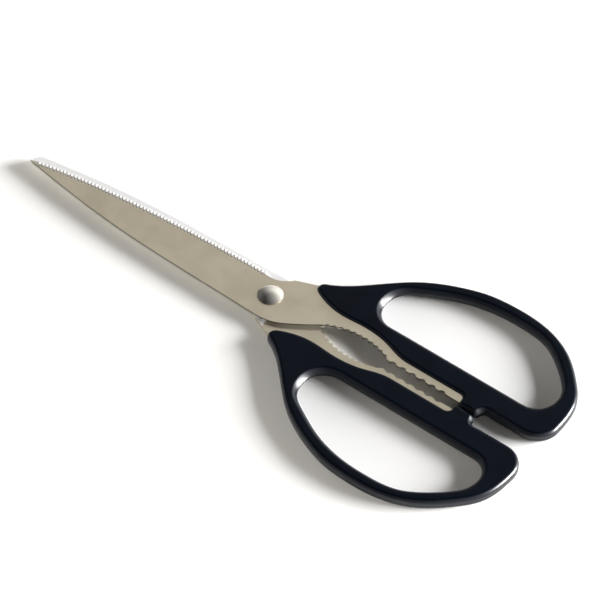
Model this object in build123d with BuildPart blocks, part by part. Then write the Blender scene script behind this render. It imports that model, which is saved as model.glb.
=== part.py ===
from build123d import *
from math import atan2, cos, radians, sin
import os

# Kitchen shears: two stamped steel halves on one rivet, each with its handle moulded on.
# The upper half carries a micro-serrated blade, and both tangs have a toothed jaw.
# All lengths are in millimetres.
#
# Frame: +X runs from the tips to the finger loops, +Y to the upper half's loop, +Z up.
# The origin lies on the table, under the middle of the closed shears.
# Each half is drawn about the pivot in its own plane, and the lower plane is the upper
# one turned over, so one set of profiles makes both halves.

# Overall sizes
overall_length = 250.0
tip_reach = 122.0
grip_span = 109.2
grip_thickness = 5.0
blade_thickness = 1.5
blade_gap = 0.06
stop_gap = 0.3

grip_reach = overall_length - tip_reach
grip_half_span = grip_span / 2
pivot_x = tip_reach - overall_length / 2

# Blade
blade_half_width = 11.4
heel_reach = 10.0
upper_heel_share = 0.868
lower_heel_share = 0.965
upper_tip_offset = -0.9
lower_tip_offset = 1.2
tip_blunt = 0.5
tip_round = 3.0
bevel_width = 1.9
edge_land = 0.12
bevel_depth = blade_thickness - edge_land

# Spine from the tip to the pivot: shares of the tip's reach and of the blade's half width
spine_shares = [(0.982, 0.26), (0.845, 0.475), (0.70, 0.68), (0.51, 0.85), (0.29, 0.94), (0.03, 1.0)]
tip_spine_share = 0.1

# Edge from the heel to the tip: shares of the run between them and of the rise to the heel
edge_shares = [(0.32, 0.895), (0.54, 0.735), (0.74, 0.515), (0.89, 0.27)]

# Flutes ground across the bevel of the upper blade
flute_pitch = 1.65
flute_radius = 0.85
flute_run = 3.5
flute_floor = 0.06
flute_slant = 14.0
fluted_share = 0.975

# Ricasso, from the heel's notch to the shoulder: the notch's run and depth, and the ricasso's
# middle as shares of the way from the notch to the shoulder
upper_notch = (0.8, 2.1)
lower_notch = (1.0, 2.1)
upper_sag_shares = (0.773, 0.354)
lower_sag_shares = (0.6, 0.3)
shoulder_reach = 2.7
shoulder_rise = 0.7
shoulder_round = 0.8

# Neck, where the steel enters the handle
neck_reach_share = 0.0953
neck_rise_share = 0.368901

# Jaws: an oval with fine teeth, then a narrow claw with coarse ones
jaw_start_share = 0.1938
oval_length_share = 0.25
oval_gap_share = 0.438596
claw_length_share = 0.2547
claw_half_gap = 1.6
oval_crown_share = 0.5
oval_tooth_pitch = 2.75
oval_tooth_radius = 1.0
oval_tooth_depth = 0.6
claw_tooth_pitch = 4.7
claw_tooth_radius = 1.6
claw_tooth_depth = 0.9
jaw_strip_share = 0.377193
claw_strip = 3.2

neck_reach = grip_reach * neck_reach_share
oval_half_gap = blade_half_width * oval_gap_share
jaw_strip = blade_half_width * jaw_strip_share
neck_half_width = blade_half_width + neck_reach * neck_rise_share
shoulder_offset = blade_half_width + shoulder_rise
jaw_start = grip_reach * jaw_start_share
oval_length = grip_reach * oval_length_share
claw_length = grip_reach * claw_length_share
throat = jaw_start + oval_length
jaw_end = throat + claw_length

# Tail of the blade's spine, from the pivot to the jaw: shares of jaw_start and of the half width
tail_shares = [(0.20, 0.985), (0.41, 0.87), (0.61, 0.62), (0.81, 0.32)]

# Tang inside the handle
tang_overlap = 5.6
tang_end_share = 0.0664
tang_end_round = 3.0
key_hole_radius = 1.9
tang_shares = [(0.14, 1.0), (0.28, 0.92), (0.45, 0.66)]
neck_slope_share = 0.45
tang_end_length = grip_reach * tang_end_share

# Finger loop
crown_reach_share = 0.6406
loop_front_share = 0.2918
loop_offset_share = 0.2967
rear_bar = 9.05
outer_bar = 6.0
front_corner_shares = (0.1177, 0.296)
rear_corner_shares = (0.1017, 0.268)
loop_round = 2.0

crown_reach = grip_reach * crown_reach_share
loop_front = grip_reach * loop_front_share
loop_rear = grip_reach - rear_bar
loop_offset = grip_half_span * loop_offset_share
loop_crown = grip_half_span - outer_bar
loop_length = loop_rear - loop_front
loop_width = loop_crown - loop_offset
front_corner_length = loop_length * front_corner_shares[0]
front_corner_height = loop_width * front_corner_shares[1]
rear_corner_length = loop_length * rear_corner_shares[0]
rear_corner_height = loop_width * rear_corner_shares[1]

# Loop's outer curve: shares of the way from the front, or the rear, to the crown
loop_front_shares = [(0.185, 0.525), (0.431, 0.779)]
loop_rear_shares = [(0.125, 0.429), (0.411, 0.798)]

# Handle outline
nose_round = 2.3
toe_height = 9.8
toe_length_share = 0.0763
slot_half_width = 4.3
pad_setback = 1.0
pad_reach_share = 0.775
pad_step = 1.3
pad_round = 1.65
edge_round = 1.5
grip_front_shares = [(0.2046, 0.5086), (0.3299, 0.7783), (0.4625, 0.9355)]
grip_rear_shares = [(0.179, 0.585), (0.361, 0.78)]
grip_cheek_shares = [
    (0.085, 0.834265), (0.186, 0.718015), (0.354, 0.635956),
    (0.56, 0.673566), (0.74, 0.653051), (0.87, 0.567574),
]
nose_slope_shares = (-0.6, 0.8)
cover_start_share = 0.2

pad_reach = grip_reach * pad_reach_share
toe_length = grip_reach * toe_length_share

# Pivot
head_radius = 5.2
head_rim = 0.25
head_rise = 1.6
shank_radius = 2.5
running_clearance = 0.04
seat_clearance = 0.01
head_gap = 0.03
washer_radius = 4.6
washer_thickness = 0.4
tail_radius = 3.6
tail_rise = 0.45

middle_z = grip_thickness / 2
upper_half = Plane(origin=(pivot_x, 0, middle_z), x_dir=(1, 0, 0), z_dir=(0, 0, 1))
lower_half = Plane(origin=(pivot_x, 0, middle_z), x_dir=(1, 0, 0), z_dir=(0, 0, -1))


def edge_curve(heel_share, tip_offset):
    """Cutting edge: one smooth curve from the heel to the tip, bowed away from the spine."""
    heel = (-heel_reach, blade_half_width * heel_share)
    tip = (tip_blunt - tip_reach, tip_offset)
    run = tip[0] - heel[0]
    rise = heel[1] - tip[1]
    belly = [(heel[0] + run * x, tip[1] + rise * y) for x, y in edge_shares]
    return Spline(heel, *belly, tip)


def jaw_line():
    """Teeth crests of one jaw, from the mouth over the oval and along the claw."""
    mouth = (jaw_start, 0)
    crown = (jaw_start + oval_length * oval_crown_share, oval_half_gap)
    oval = ThreePointArc(mouth, crown, (throat, claw_half_gap))
    claw = Line(oval @ 1, (jaw_end + tang_end_length - tang_end_round, claw_half_gap))
    return oval, claw


def blade_profile(heel_share, tip_offset, notch, sag_shares):
    """Outline of one stamping: edge, tip, spine, jaw, tang, neck and ricasso."""
    edge = edge_curve(heel_share, tip_offset)
    tip_low = (-tip_reach, tip_offset - blade_half_width * tip_spine_share)
    Line(edge @ 1, tip_low)
    spine = [(-tip_reach * x, -blade_half_width * y) for x, y in spine_shares]
    tail = [(jaw_start * x, -blade_half_width * y) for x, y in tail_shares]
    Line(tip_low, spine[0])
    Spline(*spine, *tail, (jaw_start, 0))
    oval, claw = jaw_line()
    tang_top = claw_half_gap + claw_strip + tang_overlap
    end_x = jaw_end + tang_end_length
    low_corner = RadiusArc(claw @ 1, (end_x, claw_half_gap + tang_end_round), -tang_end_round)
    end_line = Line(low_corner @ 1, (end_x, tang_top - tang_end_round))
    top_corner = RadiusArc(end_line @ 1, (end_x - tang_end_round, tang_top), -tang_end_round)
    neck = (neck_reach, neck_half_width)
    back = [(jaw_end * x, tang_top + (neck_half_width - tang_top) * y) for x, y in tang_shares]
    slopes = [(-1, 0), (-1, -neck_slope_share)]
    tang_back = Spline(top_corner @ 1, *reversed(back), neck, tangents=slopes)
    shoulder = (shoulder_reach, shoulder_offset)
    Line(tang_back @ 1, shoulder)
    notch_run, notch_depth = notch
    foot = (-heel_reach + notch_run, blade_half_width * heel_share - notch_depth)
    sag_x = foot[0] + (shoulder[0] - foot[0]) * sag_shares[0]
    sag_y = foot[1] + (shoulder[1] - foot[1]) * sag_shares[1]
    ThreePointArc(shoulder, (sag_x, sag_y), foot)
    Line(foot, edge @ 0)
    return edge


def jaw_notches():
    """Places of the notches: centres of the circles that cut the teeth, oval first."""
    with BuildLine(mode=Mode.PRIVATE):
        oval, claw = jaw_line()
    oval_count = int(oval.length / oval_tooth_pitch) - 1
    oval_places = []
    for i in range(oval_count):
        at = (i + 1) / (oval_count + 1)
        out = (oval % at).rotate(Axis.Z, 90)
        oval_places.append(oval @ at - out * (oval_tooth_radius - oval_tooth_depth))
    claw_count = int(claw_length / claw_tooth_pitch)
    claw_places = []
    for i in range(claw_count):
        x = throat + (i + 0.5) * claw_tooth_pitch
        claw_places.append(Vector(x, claw_half_gap - (claw_tooth_radius - claw_tooth_depth)))
    return oval_places, claw_places


def tang_holes():
    """Holes through the hidden tang, which the handle's plastic fills."""
    oval_row = oval_half_gap + jaw_strip + tang_overlap / 2
    claw_row = claw_half_gap + claw_strip + tang_overlap / 2
    front = (neck_reach + oval_length / 2, oval_row)
    middle = (throat + claw_length / 2, claw_row)
    return [front, middle, (jaw_end, claw_row)]


def flute_places(half):
    """Frames of the flutes: each runs from the edge up to the flat, slanted, at one step."""
    with BuildLine(mode=Mode.PRIVATE):
        edge = edge_curve(upper_heel_share, upper_tip_offset)
    count = int(edge.length * fluted_share / flute_pitch)
    rise = atan2(blade_thickness - flute_floor, flute_run)
    places = []
    for i in range(count):
        at = fluted_share * (i + 0.5) / count
        along = edge % at
        inward = along.rotate(Axis.Z, 90)
        if inward.Y > 0:
            inward = inward * -1
        slope = inward * cos(rise) + Vector(0, 0, 1) * sin(rise)
        outward = inward * -sin(rise) + Vector(0, 0, 1) * cos(rise)
        lean = radians(flute_slant)
        axis = slope * cos(lean) - along * sin(lean)
        foot = edge @ at + Vector(0, 0, blade_gap / 2 + flute_floor)
        centre = foot + axis * (flute_run / cos(rise) / 2) + outward * flute_radius
        places.append(half.location * Plane(origin=centre, z_dir=axis).location)
    return places


def grip_profile():
    """Outline of one handle, from its nose round the loop to the stop pad and the jaw."""
    claw_cover = claw_half_gap + claw_strip
    inset = stop_gap / 2
    slot_start = grip_reach - toe_length
    crown = (crown_reach, grip_half_span)
    cover_start = throat + claw_length * cover_start_share
    pad_front = jaw_end + pad_setback
    rear = FilletPolyline(
        (slot_start, slot_half_width),
        (pad_reach + pad_step, slot_half_width),
        (pad_reach, inset),
        (pad_front, inset),
        (pad_front, claw_cover),
        (cover_start, claw_cover),
        radius=[pad_round, pad_round, pad_round, claw_strip / 2],
    )
    nose_low = (neck_reach, neck_half_width - nose_round)
    run = throat - neck_reach
    cheek = [(neck_reach + run * x, nose_low[1] * y) for x, y in grip_cheek_shares]
    slopes = [(-1, 0), nose_slope_shares]
    inner = Spline(rear @ 1, *reversed(cheek), nose_low, tangents=slopes)
    nose_high = (neck_reach + nose_round / 2, neck_half_width + nose_round)
    nose = TangentArc(inner @ 1, nose_high, tangent=inner % 1)
    front = [(grip_reach * x, grip_half_span * y) for x, y in grip_front_shares]
    Spline(nose @ 1, *front, crown, tangents=[nose % 1, (1, 0)])
    toe_top = slot_half_width + toe_height
    drop = grip_half_span - toe_top
    run = grip_reach - crown_reach
    back = [(grip_reach - run * x, toe_top + drop * y) for x, y in grip_rear_shares]
    Spline(crown, *reversed(back), (grip_reach, toe_top), tangents=[(1, 0), (0, -1)])
    EllipticalCenterArc((slot_start, toe_top), toe_length, toe_height, 270)


def loop_profile():
    """Outline of the finger loop: a flat side along the jaw and a bowed one outside."""
    crown = (crown_reach, loop_crown)
    front_x = loop_front + front_corner_length
    rear_x = loop_rear - rear_corner_length
    Line((front_x, loop_offset), (rear_x, loop_offset))
    high = loop_offset + rear_corner_height
    EllipticalCenterArc((rear_x, high), rear_corner_length, rear_corner_height, 270)
    rise = loop_crown - high
    run = loop_rear - crown_reach
    rear = [(loop_rear - run * x, high + rise * y) for x, y in loop_rear_shares]
    Spline((loop_rear, high), *rear, crown, tangents=[(0, 1), (-1, 0)])
    high = loop_offset + front_corner_height
    rise = loop_crown - high
    run = crown_reach - loop_front
    front = [(loop_front + run * x, high + rise * y) for x, y in loop_front_shares]
    Spline(crown, *reversed(front), (loop_front, high), tangents=[(-1, 0), (0, -1)])
    EllipticalCenterArc((front_x, high), front_corner_length, front_corner_height, 180)


pieces = {}
upper_shape = (upper_heel_share, upper_tip_offset, upper_notch, upper_sag_shares)
lower_shape = (lower_heel_share, lower_tip_offset, lower_notch, lower_sag_shares)
halves = {
    "upper": (upper_half, running_clearance, upper_shape),
    "lower": (lower_half, seat_clearance, lower_shape),
}
oval_places, claw_places = jaw_notches()

for side, (half, clearance, blade_shape) in halves.items():
    with BuildPart() as blade:
        with BuildSketch(half.offset(blade_gap / 2)):
            with BuildLine():
                edge = blade_profile(*blade_shape)
            make_face()
            with Locations(*oval_places):
                Circle(oval_tooth_radius, mode=Mode.SUBTRACT)
            with Locations(*claw_places):
                Circle(claw_tooth_radius, mode=Mode.SUBTRACT)
            with Locations(*tang_holes()):
                Circle(key_hole_radius, mode=Mode.SUBTRACT)
            Circle(shank_radius + clearance, mode=Mode.SUBTRACT)
        extrude(amount=blade_thickness)
        outer_plane = half.offset(blade_gap / 2 + blade_thickness)
        outer_face = blade.faces().sort_by(Axis(half.origin, half.z_dir))[-1]
        edge_middle = outer_plane.from_local_coords(edge @ 0.5)
        edge_rim = outer_face.edges().sort_by_distance(edge_middle)[0]
        chamfer(edge_rim, length=bevel_width, length2=bevel_depth, reference=outer_face)
        shoulder = outer_plane.from_local_coords((shoulder_reach, shoulder_offset))
        fillet(blade.edges().filter_by(Axis.Z).sort_by_distance(shoulder)[0], shoulder_round)
        tip_x, tip_y = spine_shares[0]
        corner = outer_plane.from_local_coords((-tip_reach * tip_x, -blade_half_width * tip_y))
        fillet(blade.edges().filter_by(Axis.Z).sort_by_distance(corner)[0], tip_round)
        if side == "upper":
            with Locations(*flute_places(half)):
                Cylinder(flute_radius, 2 * flute_run, mode=Mode.SUBTRACT)
    pieces[f"{side}_blade"] = blade

    with BuildPart() as handle:
        with BuildSketch(half.offset(-grip_thickness / 2)):
            with BuildLine():
                grip_profile()
            make_face()
            with BuildLine():
                loop_profile()
            make_face(mode=Mode.SUBTRACT)
        extrude(amount=grip_thickness)
        flats = handle.faces().filter_by(Axis.Z)
        fillet([rim for flat in flats for rim in flat.inner_wires()[0].edges()], loop_round)
        flats = handle.faces().filter_by(Axis.Z)
        fillet([rim for flat in flats for rim in flat.outer_wire().edges()], edge_round)
        add(blade.part, mode=Mode.SUBTRACT)
    pieces[f"{side}_handle"] = handle

# Heights of the pivot's stack, measured along the pivot from the middle of the shears
stack_top = blade_gap / 2 + blade_thickness
head_base = stack_top + head_gap
washer_low = -stack_top - washer_thickness

with BuildPart() as pivot_rivet:
    with BuildSketch(Plane(origin=(pivot_x, 0, middle_z), x_dir=(1, 0, 0), z_dir=(0, -1, 0))):
        with BuildLine():
            head_top = (0, head_base + head_rim + head_rise)
            tail_end = (0, washer_low - tail_rise)
            Line(head_top, tail_end)
            tail = TangentArc(tail_end, (tail_radius, washer_low), tangent=(1, 0))
            Polyline(
                tail @ 1,
                (shank_radius, washer_low),
                (shank_radius, head_base),
                (head_radius, head_base),
                (head_radius, head_base + head_rim),
            )
            TangentArc(head_top, (head_radius, head_base + head_rim), tangent=(1, 0))
        make_face()
    revolve(axis=Axis((pivot_x, 0, 0), (0, 0, 1)))

with BuildPart() as pivot_washer:
    with BuildSketch(upper_half.offset(washer_low)):
        Circle(washer_radius)
        Circle(shank_radius + seat_clearance, mode=Mode.SUBTRACT)
    extrude(amount=washer_thickness)

pieces["pivot_rivet"] = pivot_rivet
pieces["pivot_washer"] = pivot_washer

os.makedirs("parts", exist_ok=True)
for name, piece in pieces.items():
    piece.part.label = name
    export_step(piece.part, f"parts/{name}.step")
    size = piece.part.bounding_box().size
    print(name, f"{size.X:.2f} x {size.Y:.2f} x {size.Z:.2f} mm, {piece.part.volume:.0f} mm3")
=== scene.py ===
# %% [markdown]
# # Kitchen shears
# Large kitchen shears lying closed on a white table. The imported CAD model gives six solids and
# one hinge. This lesson keeps the steel parts as they are and gives them ground and polished
# finishes, and rebuilds the two moulded handles as smooth surfaces.

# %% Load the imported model
import bpy
import numpy as np
from mathutils import Matrix, Vector, geometry


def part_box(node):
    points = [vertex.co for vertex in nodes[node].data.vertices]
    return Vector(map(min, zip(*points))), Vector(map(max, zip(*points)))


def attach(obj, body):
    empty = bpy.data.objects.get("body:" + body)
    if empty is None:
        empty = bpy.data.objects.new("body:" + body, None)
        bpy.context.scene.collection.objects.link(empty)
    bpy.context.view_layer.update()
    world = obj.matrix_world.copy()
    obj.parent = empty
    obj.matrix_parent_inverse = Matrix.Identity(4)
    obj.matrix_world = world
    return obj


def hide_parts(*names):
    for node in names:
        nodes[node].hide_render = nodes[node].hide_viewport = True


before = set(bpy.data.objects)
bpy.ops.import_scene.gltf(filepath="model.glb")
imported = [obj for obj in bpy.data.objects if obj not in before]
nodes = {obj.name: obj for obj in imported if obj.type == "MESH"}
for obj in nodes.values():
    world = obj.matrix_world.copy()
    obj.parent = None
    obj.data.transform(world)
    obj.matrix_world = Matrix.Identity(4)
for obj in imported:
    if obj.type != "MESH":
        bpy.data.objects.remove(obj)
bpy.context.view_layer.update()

mm = 0.001
print("pieces:", sorted(nodes))

# %% [markdown]
# ## Camera
# The photograph looks across the shears from a little over a metre above the table, with a
# long lens. The pivot is the best-known point of the shears, so the camera is placed from it.
# A small lens shift moves the frame, because the shears don't lie in the picture's middle.

# %% Camera at the photograph's angle
view_turn = np.radians(38.55)
view_rise = np.radians(47.76)
view_distance = 1.582
pivot = Vector((-0.003, 0.0, 0.0))

right = Vector((np.cos(view_turn), np.sin(view_turn), 0))
ahead = Vector((-np.sin(view_turn), np.cos(view_turn), 0))
look = ahead * np.cos(view_rise) - Vector((0, 0, np.sin(view_rise)))
above = right.cross(look)

lens = bpy.data.cameras.new("camera")
lens.sensor_width = 36
lens.lens = 243.1
lens.shift_x = 0.0495
lens.shift_y = 0.0032
lens.clip_end = 20
camera = bpy.data.objects.new("camera", lens)
bpy.context.scene.collection.objects.link(camera)
turn = Matrix((right, above, -look)).transposed().to_4x4()
camera.matrix_world = Matrix.Translation(pivot - look * view_distance) @ turn
bpy.context.scene.camera = camera
print("camera stands at", [round(c, 3) for c in camera.matrix_world.translation])

# %% [markdown]
# ## A way to write shader maths
# A finish is a small formula: a base value, plus some noise, times a mask. Written as Python it
# stays readable. `Wire` wraps a node's output so that `1 - mask` or `noise * 0.1` adds the Math
# node for it, and `Bench.node` adds any other node from its type, its settings and its inputs.

# %% Wire and Bench
class Wire:
    """One output of a node. Operators on it add Math nodes and return the result's wire."""

    def __init__(self, bench, socket):
        self.bench = bench
        self.socket = socket

    def maths(self, operation, *values):
        return self.bench.node("ShaderNodeMath", {"operation": operation}, dict(enumerate(values)))

    def __add__(self, other):
        return self.maths("ADD", self, other)

    __radd__ = __add__

    def __sub__(self, other):
        return self.maths("SUBTRACT", self, other)

    def __rsub__(self, other):
        return self.maths("SUBTRACT", other, self)

    def __mul__(self, other):
        return self.maths("MULTIPLY", self, other)

    __rmul__ = __mul__

    def __abs__(self):
        return self.maths("ABSOLUTE", self)

    def clip(self, low, high):
        """0 below low, 1 above high, and a smooth rise between them."""
        return self.bench.node(
            "ShaderNodeMapRange",
            {"interpolation_type": "SMOOTHSTEP", "clamp": True},
            {"Value": self, "From Min": low, "From Max": high},
        )


class Bench:
    """The node tree of one finish."""

    def __init__(self, tree):
        self.tree = tree

    def node(self, kind, settings=None, inputs=None, output=0):
        made = self.tree.nodes.new(kind)
        for name, value in (settings or {}).items():
            setattr(made, name, value)
        for name, value in (inputs or {}).items():
            if isinstance(value, Wire):
                self.tree.links.new(value.socket, made.inputs[name])
            else:
                made.inputs[name].default_value = value
        return Wire(self, made.outputs[output]) if made.outputs else None

    def part(self, vector, index):
        """One coordinate of a vector: 0, 1 or 2 for x, y or z."""
        return self.node("ShaderNodeSeparateXYZ", inputs={0: vector}, output=index)

    def reach(self, vector):
        """The length of a vector."""
        return self.node("ShaderNodeVectorMath", {"operation": "LENGTH"}, {0: vector}, output=1)

    def toward(self, vector, way):
        """How far a vector goes along a fixed direction."""
        return self.node(
            "ShaderNodeVectorMath", {"operation": "DOT_PRODUCT"}, {0: vector, 1: tuple(way)}, output=1
        )

    def ray(self, kind):
        """1 for rays of one kind, and 0 for all others."""
        return self.node("ShaderNodeLightPath", output=kind)

    def bump(self, height, strength, depth):
        """A surface direction bent by a height that is `depth` millimetres deep."""
        return self.node(
            "ShaderNodeBump", inputs={"Strength": strength, "Distance": depth * mm, "Height": height}
        )

    def place(self, stretch=(1, 1, 1), turn=0.0):
        """Object coordinates in millimetres, stretched along each axis and turned about Z."""
        here = self.node("ShaderNodeTexCoord", output=3)
        scale = tuple(s / mm for s in stretch)
        rotation = (0, 0, turn)
        return self.node(
            "ShaderNodeMapping", inputs={"Vector": here, "Scale": scale, "Rotation": rotation}
        )

    def noise(self, place, scale, detail=2.0, roughness=0.5):
        """Cloudy values about 0.5, with `scale` lumps to the millimetre."""
        return self.node(
            "ShaderNodeTexNoise",
            inputs={"Vector": place, "Scale": scale, "Detail": detail, "Roughness": roughness},
        )

    def blend(self, share, first, second):
        """A colour between two others."""
        return self.node(
            "ShaderNodeMix",
            {"data_type": "RGBA"},
            {0: share, 6: (*first, 1) if isinstance(first, tuple) else first,
             7: (*second, 1) if isinstance(second, tuple) else second},
            output=2,
        )


def finish(name, fixed, varying):
    """A material whose Principled shader takes the fixed numbers and what varying(bench) gives."""
    made = bpy.data.materials.new(name)
    made.use_nodes = True
    bench = Bench(made.node_tree)
    shader = made.node_tree.nodes["Principled BSDF"]
    for socket, value in fixed.items():
        shader.inputs[socket].default_value = value
    for socket, wire in varying(bench).items():
        made.node_tree.links.new(wire.socket, shader.inputs[socket])
    print("finish", name, "has", len(made.node_tree.nodes), "nodes")
    return made


def wear(name, made):
    """Puts one finish on every slot of a CAD node."""
    data = nodes[name].data
    if not data.materials:
        data.materials.append(made)
    for slot in range(len(data.materials)):
        data.materials[slot] = made


# %% [markdown]
# ## Satin blade steel
# The blades are stamped from stainless sheet and ground flat. Grinding leaves fine straight
# scratches, which a noise stretched fifty times along one direction gives. The same noise
# drives the bump and a little of the roughness, so the scratches catch the light.

# %% Satin steel
steel_colour = (0.67, 0.60, 0.465)
steel_dull = (0.61, 0.545, 0.415)
scratch_stretch = (1, 0.02, 0.3)
scratch_turn = 0.12
scratches_per_mm = 9.0
patches_per_mm = 0.09


def satin(bench):
    """Long fine scratches across the blade, and wide soft patches where the wheel bit less."""
    scratch = bench.noise(bench.place(scratch_stretch, scratch_turn), scratches_per_mm, detail=3.0)
    patch = bench.noise(bench.place(), patches_per_mm, detail=2.0)
    return {
        "Base Color": bench.blend(patch.clip(0.3, 0.7), steel_dull, steel_colour),
        "Roughness": 0.25 + scratch * 0.1 + patch * 0.04,
        "Normal": bench.bump(scratch, strength=0.12, depth=0.02),
    }


flat_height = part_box("upper_blade")[1][2] / mm
honed_colour = (0.80, 0.795, 0.78)
# Painted shade: the second colour below is a near-black steel put on a band 0.35 to 0.75 mm under the
# flat, on every cut face and wall, where the flutes' sides and the spine's wall are in shade.
painted_shade_colour = (0.12, 0.115, 0.11)
painted_shade_depths = (0.75, 0.35)
cut_depths = (0.05, 0.01)
honed_gloss = 0.14


def honed(bench):
    """Satin flat, and brighter steel wherever the wheel cut below it: flutes, edges and teeth, with
    painted shade in a near-black band just under the flat.
    """
    result = satin(bench)
    height = bench.part(bench.place(), 2)
    cut = 1 - height.clip(*(flat_height - depth for depth in cut_depths))
    # Painted shade: the band just under the flat gets the near-black colour instead of the bright
    # honed one.
    painted_shade_band = height.clip(*(flat_height - depth for depth in painted_shade_depths))
    shade = bench.blend(painted_shade_band, honed_colour, painted_shade_colour)
    result["Base Color"] = bench.blend(cut, result["Base Color"], shade)
    result["Roughness"] = result["Roughness"] - cut * honed_gloss
    return result


blade_steel = finish("blade_steel", {"Metallic": 1.0}, honed)
wear("upper_blade", blade_steel)

# %% [markdown]
# ## Cross-ground inner face
# The face on which the blades meet is ground crosswise on a coarse wheel before assembly. Its
# scratches run across the blade and scatter the lamp's light along it, so the strip of the lower
# blade that shows past the edge is nearly white. The grinding stops at a slanted line by the
# pivot, and past it the steel is satin like the rest. The finish is found by height: only the
# inner face lies at the height of the gap between the blades.

# %% Ground steel
inner_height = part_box("lower_blade")[1][2] / mm
ground_end = 4.5 + pivot.x / mm
ground_slant = -0.16
ground_blur = 0.4
ground_colour = (0.68, 0.68, 0.685)
ground_matt = 0.72
ground_level_depths = (0.06, 0.02)
line_stretch = (1, 0.03, 1)
lines_per_mm = 5.0


def cross_ground(bench):
    """Satin steel, with a matt bright face in the height of the gap and before the slanted line."""
    result = satin(bench)
    here = bench.place()
    along, across, height = (bench.part(here, index) for index in range(3))
    level = height.clip(*(inner_height - depth for depth in ground_level_depths))
    past = (along - across * ground_slant).clip(ground_end - ground_blur, ground_end + ground_blur)
    ground = level * (1 - past)
    line = bench.noise(bench.place(line_stretch), lines_per_mm, detail=2.0)
    result["Base Color"] = bench.blend(ground, result["Base Color"], ground_colour)
    result["Metallic"] = 1 - ground * (ground_matt + line * 0.2)
    result["Roughness"] = result["Roughness"] + ground * 0.3
    return result


ground_steel = finish("ground_steel", {"Metallic": 1.0}, cross_ground)
wear("lower_blade", ground_steel)

# %% [markdown]
# ## Polished rivet
# The rivet's head is turned and polished to a soft dome. Polishing on a spindle leaves faint
# rings about the pivot, so the scratch noise here follows the distance from the pivot.

# %% Polished steel
rings_per_mm = 6.0


def polished(bench):
    """Rings about the pivot: noise of the distance from its axis."""
    centred = bench.node(
        "ShaderNodeMapping",
        inputs={"Vector": bench.node("ShaderNodeTexCoord", output=3),
                "Location": (-pivot.x / mm, 0, 0), "Scale": (1 / mm, 1 / mm, 0)},
    )
    ring = bench.node(
        "ShaderNodeTexNoise",
        {"noise_dimensions": "1D"},
        {"W": bench.reach(centred), "Scale": rings_per_mm, "Detail": 3.0},
    )
    return {"Roughness": 0.1 + ring * 0.08, "Normal": bench.bump(ring, strength=0.08, depth=0.01)}


rivet_steel = finish(
    "rivet_steel", {"Metallic": 1.0, "Base Color": (0.70, 0.67, 0.60, 1)}, polished
)
washer_steel = finish(
    "washer_steel", {"Metallic": 1.0, "Base Color": (0.60, 0.59, 0.56, 1)}, polished
)
wear("pivot_rivet", rivet_steel)
wear("pivot_washer", washer_steel)

# %% [markdown]
# ## Moulded handle plastic
# The handles are moulded in a black plastic with a cold blue cast and a soft gloss. The mould's
# surface leaves a very fine grain, and handling leaves duller patches. The flats are left dull,
# and the rims and walls are polished: a coat by height, the same on both sides of the middle.

# %% Black plastic
plastic_low = (0.0002, 0.0010, 0.0034)
plastic_high = (0.0005, 0.0018, 0.0050)
grains_per_mm = 4.0
dull_patches_per_mm = 0.12
bottom, top = (corner[2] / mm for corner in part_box("upper_handle"))
middle = (bottom + top) / 2
coat_weight = 0.75
coat_from = 0.5
coat_until = 0.05


def moulded(bench):
    """A fine even grain, wide soft patches in the gloss, and a coat away from the flats."""
    grain = bench.noise(bench.place(), grains_per_mm, detail=2.0)
    patch = bench.noise(bench.place(), dull_patches_per_mm, detail=3.0)
    off_middle = abs(bench.part(bench.place(), 2) - middle)
    return {
        "Coat Weight": coat_weight * (1 - off_middle.clip(middle - coat_from, middle - coat_until)),
        "Base Color": bench.blend(patch.clip(0.3, 0.7), plastic_low, plastic_high),
        "Roughness": 0.2 + patch * 0.08,
        "Normal": bench.bump(grain, strength=0.15, depth=0.01),
    }


handle_plastic = finish(
    "handle_plastic", {"Specular IOR Level": 0.09, "Coat Roughness": 0.33}, moulded
)
for name in ("upper_handle", "lower_handle"):
    wear(name, handle_plastic)

# %% [markdown]
# ## Handles as smooth surfaces
# The CAD handles are cut into flat facets along their curves. A moulded handle has no facets: its
# rim is one soft rounding, leaner at the finger loop's front and by the stop pad, and a fine
# parting line runs round the middle where the mould's halves met. So each handle is made again:
# the CAD handle is cut at one level, the two outlines are smoothed, and a rim profile is carried
# along them.

# %% Cutting a handle at a level
def outlines(name, level):
    """Closed outlines of a CAD node at one height, in millimetres, material on the left.

    Every triangle that crosses the level gives one segment. The corner that is alone on its side
    is turned to the front, and the cut runs between the two edges that leave it.
    """
    data = nodes[name].data
    data.calc_loop_triangles()
    points = np.empty(len(data.vertices) * 3)
    data.vertices.foreach_get("co", points)
    points = points.reshape(-1, 3)
    world = np.array(nodes[name].matrix_world)
    points = (points @ world[:3, :3].T + world[:3, 3]) / mm
    corners = np.empty(len(data.loop_triangles) * 3, dtype=int)
    data.loop_triangles.foreach_get("vertices", corners)
    corners = corners.reshape(-1, 3)
    side = points[corners, 2] > level
    crossing = (side.sum(axis=1) % 3) != 0
    corners, side = corners[crossing], side[crossing]
    lone = np.where(side.sum(axis=1) == 1, side.argmax(axis=1), side.argmin(axis=1))
    row = np.arange(len(corners))
    apex, second, third = (points[corners[row, (lone + i) % 3]] for i in range(3))

    def cut(low, high):
        share = (level - low[:, 2]) / (high[:, 2] - low[:, 2])
        return (low + (high - low) * share[:, None])[:, :2]

    start, end = cut(apex, second), cut(apex, third)
    apex_low = apex[:, 2] < level
    start[apex_low], end[apex_low] = end[apex_low], start[apex_low].copy()
    keys = {tuple(np.round(p, 4)): i for i, p in enumerate(start)}
    left = set(keys.values())
    loops = []
    while left:
        here = left.pop()
        chain = [here]
        while True:
            here = keys.get(tuple(np.round(end[here], 4)))
            if here is None or here not in left:
                break
            left.remove(here)
            chain.append(here)
        loops.append(start[chain])
    return sorted(loops, key=len, reverse=True)


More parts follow.
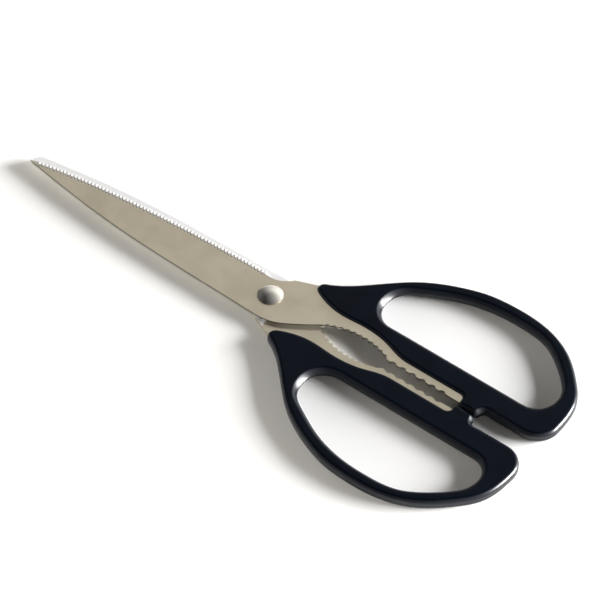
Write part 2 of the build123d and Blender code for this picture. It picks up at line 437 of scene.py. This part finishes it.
def smoothed(loop, step=0.35, spread=0.7):
    """The loop at even steps, with its waves shorter than `spread` millimetres taken out."""
    closed = np.vstack([loop, loop[:1]])
    run = np.concatenate([[0], np.cumsum(np.hypot(*np.diff(closed, axis=0).T))])
    count = int(run[-1] / step)
    at = np.arange(count) * run[-1] / count
    wave = np.fft.fft(np.interp(at, run, closed[:, 0]) + 1j * np.interp(at, run, closed[:, 1]))
    turns = np.fft.fftfreq(count, 1 / count) * 2 * np.pi / run[-1]
    flat = np.fft.ifft(wave * np.exp(-(turns * spread) ** 2 / 2))
    return np.column_stack([flat.real, flat.imag])


sections = {}
for name, level in (("upper_handle", 2.25), ("lower_handle", 2.75)):
    sections[name] = [smoothed(loop) for loop in outlines(name, level)]
    print(name, "outlines with", [len(loop) for loop in sections[name]], "points")

# %% [markdown]
# ## Rim profile
# Seen along an outline, the rim is a quarter of an ellipse from the flat to the wall. With the
# angle `a` from the wall, the inset is `reach * (1 - cos a ** k)` and the depth is
# `drop * (1 - sin a ** k)`. A `k` over 1 makes it leaner than an ellipse, nearer to a chamfer.
# The wall between the two roundings has the parting line, a groove thinner than a hair. On the
# finger loop the rounding is deeper, and leanest at the loop's front, where fingers bear on it.
# At an outward corner the inset stays under the corner's radius, or the rim would fold over
# itself.

# %% Carrying the rim along an outline
thickness = top - bottom
rim_steps = 14
# Reach and drop of the two roundings
outer_rim = (1.7, 1.8)
loop_rim = (2.3, 2.2)
# The power k, and what the loop's front and the stop pad add to it and over what distance
leanness = 1.1
front_lean = 0.7
front_spread = 9.0
pad_face = 0.6
pad_spread = 5.0
pad_extra = 0.6
parting_half = 0.16
parting_depth = 0.05
# A narrow flat strip between the rounding and the cap keeps the shading even
margin = 0.08
# The share of a corner's radius that the inset may take, and how many points it is evened over
corner_share = 0.85
corner_window = 5


def eased(loop, reach):
    """reach at every point, held under the radius of each outward corner, and evened out."""
    along = np.roll(loop, -1, axis=0) - loop
    heading = np.angle(along[:, 0] + 1j * along[:, 1])
    turning = np.angle(np.exp(1j * (heading - np.roll(heading, 1))))
    radius = np.hypot(*along.T) / np.maximum(turning, 1e-6)
    window = range(-corner_window, corner_window + 1)
    held = np.minimum(reach, radius * corner_share)
    held = np.min([np.roll(held, i) for i in window], axis=0)
    return np.mean([np.roll(held, i) for i in window], axis=0)


def rim(loop, reach, drop, near):
    """Grid of points, outline by profile: x, y = loop + normal * inset, z from the profile.

    reach and near are one number for each point of the outline, and drop is the same all round.
    near is 1 where fingers or the stop pad bear on the rim and 0 elsewhere, and makes it leaner.
    """
    power = (leanness + front_lean * near)[:, None]
    along = np.roll(loop, -1, axis=0) - np.roll(loop, 1, axis=0)
    along /= np.hypot(*along.T)[:, None]
    normal = np.column_stack([-along[:, 1], along[:, 0]])
    angle = np.linspace(np.pi / 2, 0, rim_steps)
    column = np.ones((len(loop), 1))
    inset = np.hstack([
        reach[:, None] + margin,
        reach[:, None] * (1 - np.cos(angle) ** power),
        column * 0,
        column * parting_depth,
    ])
    height = np.hstack([
        column * thickness,
        thickness - drop * (1 - np.sin(angle) ** power),
        column * (thickness / 2 + parting_half),
        column * thickness / 2,
    ])
    inset = np.hstack([inset, inset[:, -2::-1]])
    height = np.hstack([height, thickness - height[:, -2::-1]])
    plan = loop[:, None, :] + normal[:, None, :] * inset[:, :, None]
    return np.dstack([plan, height[:, :, None]])


def moulded_handle(name, outer, hole):
    """One closed mesh: the rims of the outline and of the finger loop, and two flat caps."""
    front = hole[hole[:, 0].argmin()]
    near = np.exp(-((np.hypot(*(hole - front).T) / front_spread) ** 2))
    face = outer[np.abs(outer[:, 1]) < pad_face]
    pad = face[face[:, 0].argmax()]
    by_pad = np.exp(-((np.hypot(*(outer - pad).T) / pad_spread) ** 2))
    grids = [
        rim(outer, eased(outer, outer_rim[0] + pad_extra * by_pad), outer_rim[1], by_pad),
        rim(hole, eased(hole, loop_rim[0]), loop_rim[1], near),
    ]
    points, faces, first = [], [], 0
    for grid in grids:
        rows, columns = grid.shape[:2]
        index = first + np.arange(rows * columns).reshape(rows, columns)
        here, there = index, np.roll(index, -1, axis=0)
        quads = np.stack([here[:, :-1], here[:, 1:], there[:, 1:], there[:, :-1]], axis=-1)
        faces.extend(quads.reshape(-1, 4).tolist())
        points.append(grid.reshape(-1, 3))
        first += rows * columns
    corner = np.concatenate([
        np.arange(len(outer)) * grids[0].shape[1],
        len(points[0]) + np.arange(len(hole)) * grids[1].shape[1],
    ])
    edges = [[Vector(p) for p in grid[:, 0]] for grid in grids]
    cap = np.array(geometry.tessellate_polygon(edges))
    last = grids[0].shape[1] - 1
    points = np.vstack(points)
    a, b, c = (points[corner[cap[:, i]]] for i in range(3))
    upward = np.cross(b - a, c - a)[:, 2] > 0
    cap[~upward] = cap[~upward][:, ::-1]
    faces.extend(corner[cap].tolist())
    faces.extend((corner[cap[:, ::-1]] + last).tolist())
    mesh = bpy.data.meshes.new(name)
    mesh.from_pydata((points * mm).tolist(), [], faces)
    mesh.shade_smooth()
    piece = bpy.data.objects.new(name, mesh)
    bpy.context.scene.collection.objects.link(piece)
    print(name, "has", len(points), "points and", len(faces), "faces")
    return piece


for side in ("upper", "lower"):
    piece = moulded_handle(f"{side}_handle_surface", *sections[f"{side}_handle"])
    piece.data.materials.append(handle_plastic)
    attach(piece, f"{side}_half")
    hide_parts(f"{side}_handle")

# %% [markdown]
# ## Table, backdrop and light
# The photograph is a catalogue picture: a white table and one large soft lamp, low on the right,
# so that soft shadows fall to the left. The table is plain white paint. Away from the shears it
# turns into an even white for the camera and for reflections, so no edge of it shows.

# %% Table
table_half = 3.0
white_from = 0.155
white_full = 0.26
plane = bpy.data.meshes.new("table")
corners = [(-table_half, -table_half, 0), (table_half, -table_half, 0),
           (table_half, table_half, 0), (-table_half, table_half, 0)]
plane.from_pydata(corners, [], [(0, 1, 2, 3)])
table = bpy.data.objects.new("table", plane)
bpy.context.scene.collection.objects.link(table)

paint = bpy.data.materials.new("table_paint")
paint.use_nodes = True
paint.node_tree.nodes.clear()
bench = Bench(paint.node_tree)
away = bench.reach(bench.node("ShaderNodeTexCoord", output=3))
lit = bench.node("ShaderNodeBsdfDiffuse", inputs={"Color": (0.9, 0.9, 0.9, 1)})
white = bench.node("ShaderNodeEmission", inputs={"Color": (1, 1, 1, 1), "Strength": 1.0})
far = away.clip(white_from, white_full) * (bench.ray("Is Camera Ray") + bench.ray("Is Glossy Ray"))
mixed = bench.node("ShaderNodeMixShader", inputs={0: far, 1: lit, 2: white})
bench.node("ShaderNodeOutputMaterial", inputs={"Surface": mixed})
plane.materials.append(paint)

# %% Lamp
lamp_turn = np.radians(36)
lamp_rise = np.radians(11.8)
lamp_distance = 2.0
softbox = bpy.data.lights.new("softbox", "AREA")
softbox.shape = "RECTANGLE"
softbox.size = 1.2
softbox.size_y = 0.8
softbox.energy = 205.0
lamp = bpy.data.objects.new("softbox", softbox)
bpy.context.scene.collection.objects.link(lamp)
level = Vector((np.cos(lamp_turn), np.sin(lamp_turn), 0))
lamp_way = level * np.cos(lamp_rise) + Vector((0, 0, np.sin(lamp_rise)))
lamp.location = lamp_way * lamp_distance
lamp.rotation_euler = (-lamp_way).to_track_quat("-Z", "Y").to_euler()
lamp.visible_camera = False

# %% [markdown]
# ## Room
# What polished steel shows is the room. Seen in the steel it is white near the table, grey at
# the height that the flat blades mirror, and darker overhead, behind the camera and on its left.
# For the camera it is plain white. For what scatters light it is a warm fill from near the
# table's level, stronger on the left, across from the lamp.

# %% Room
world = bpy.data.worlds.new("studio")
bpy.context.scene.world = world
world.use_nodes = True
world.node_tree.nodes.clear()
bench = Bench(world.node_tree)
seen = bench.ray("Is Camera Ray")
mirrored = bench.ray("Is Glossy Ray")
room_overhead, room_low = 0.50, 1.12
fill_overhead, fill_low, fill_left = 0.04, 11.5, 12.0
fill_colour = (1.0, 0.96, 0.88)
way = bench.node("ShaderNodeTexCoord")
height = bench.part(way, 2)
sideways = bench.toward(way, right)
forward = bench.toward(way, ahead)
room = room_overhead + room_low * (1 - height.clip(0.5, 1.0))
room = room * (0.5 + 0.5 * forward.clip(-0.5, 0.3)) * (0.08 + 0.92 * sideways.clip(-0.5, 0.55))
fill = fill_overhead + fill_low * (1 - height.clip(0.0, 0.3))
fill = fill + fill_left * (1 - sideways.clip(-0.9, -0.2)) * (1 - height.clip(0.0, 0.4))
strength = seen + mirrored * room + (1 - seen) * (1 - mirrored) * fill
colour = bench.blend(seen + mirrored, fill_colour, (1.0, 1.0, 1.0))
sky = bench.node("ShaderNodeBackground", inputs={"Color": colour, "Strength": strength})
bench.node("ShaderNodeOutputWorld", inputs={"Surface": sky})

# %% [markdown]
# ## Finish
# The view transform stays plain, so that a colour is shown as it is written.

# %% Finish
scene = bpy.context.scene
scene.view_settings.view_transform = "Standard"
